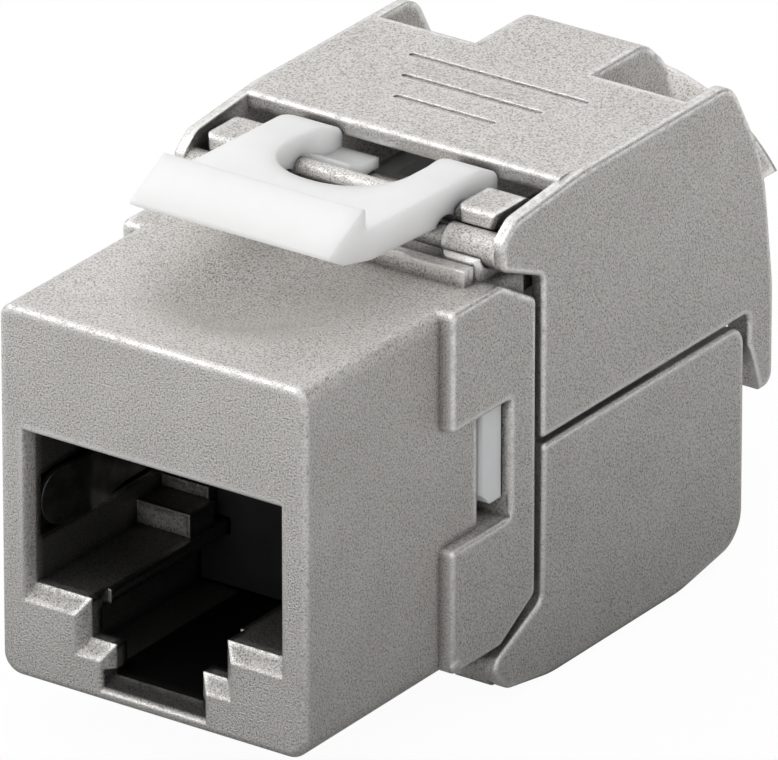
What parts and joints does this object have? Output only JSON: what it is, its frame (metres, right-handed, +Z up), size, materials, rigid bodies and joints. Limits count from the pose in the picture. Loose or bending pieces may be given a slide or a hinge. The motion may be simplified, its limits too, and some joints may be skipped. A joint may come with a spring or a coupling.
{
  "type": "keystone jack",
  "caption": "Shielded toolless keystone jack: a die-cast front block with a plug socket, a rocking white latch and two hinged covers that close over the wire terminals.",
  "frame": {"origin": "centre of the plug socket's body opening, on the front face of the block", "axes": "+X to the right seen from the plug side, +Y back along the plug's way in towards the cable, +Z up to the latch side"},
  "size_m": [0.016, 0.0347, 0.0227],
  "materials": {
    "plated_casting": "satin nickel on a fine-grained zinc casting",
    "latch_plastic": "smooth matte white acetal",
    "dark_plastic": "matte black moulding",
    "board": "green solder mask",
    "white_plastic": "matte pale moulding",
    "spring_steel": "bare spring steel",
    "gold_contact": "gold over nickel",
    "tinned_blade": "tinned bronze"
  },
  "bodies": {
    "block": {"front_housing": "plated_casting", "shield_spring_left": "spring_steel", "shield_spring_right": "spring_steel", "contact_carrier": "dark_plastic", "contact_1": "gold_contact", "contact_2": "gold_contact", "contact_3": "gold_contact", "contact_4": "gold_contact", "contact_5": "gold_contact", "contact_6": "gold_contact", "contact_7": "gold_contact", "contact_8": "gold_contact", "circuit_board": "board", "terminal_block": "white_plastic", "wire_terminal_1": "tinned_blade", "wire_terminal_2": "tinned_blade", "wire_terminal_3": "tinned_blade", "wire_terminal_4": "tinned_blade", "wire_terminal_5": "tinned_blade", "wire_terminal_6": "tinned_blade", "wire_terminal_7": "tinned_blade", "wire_terminal_8": "tinned_blade", "wire_manager": "white_plastic"},
    "latch": {"latch_clip": "latch_plastic"},
    "upper": {"upper_cover": "plated_casting"},
    "lower": {"lower_cover": "plated_casting"}
  },
  "joints": [
    {"name": "latch_pivot", "type": "hinge", "parent": "block", "child": "latch", "pos_m": [0, 0.0144, 0.0103], "axis": [1, 0, 0], "range_deg": [0, 10], "stiffness_Nm_per_rad": 0.5},
    {"name": "upper_cover_hinge", "type": "hinge", "parent": "block", "child": "upper", "pos_m": [0, 0.0133, 0.0097], "axis": [1, 0, 0], "range_deg": [0, 90]},
    {"name": "lower_cover_hinge", "type": "hinge", "parent": "block", "child": "lower", "pos_m": [0, 0.013, -0.00815], "axis": [-1, 0, 0], "range_deg": [0, 90]}
  ]
}
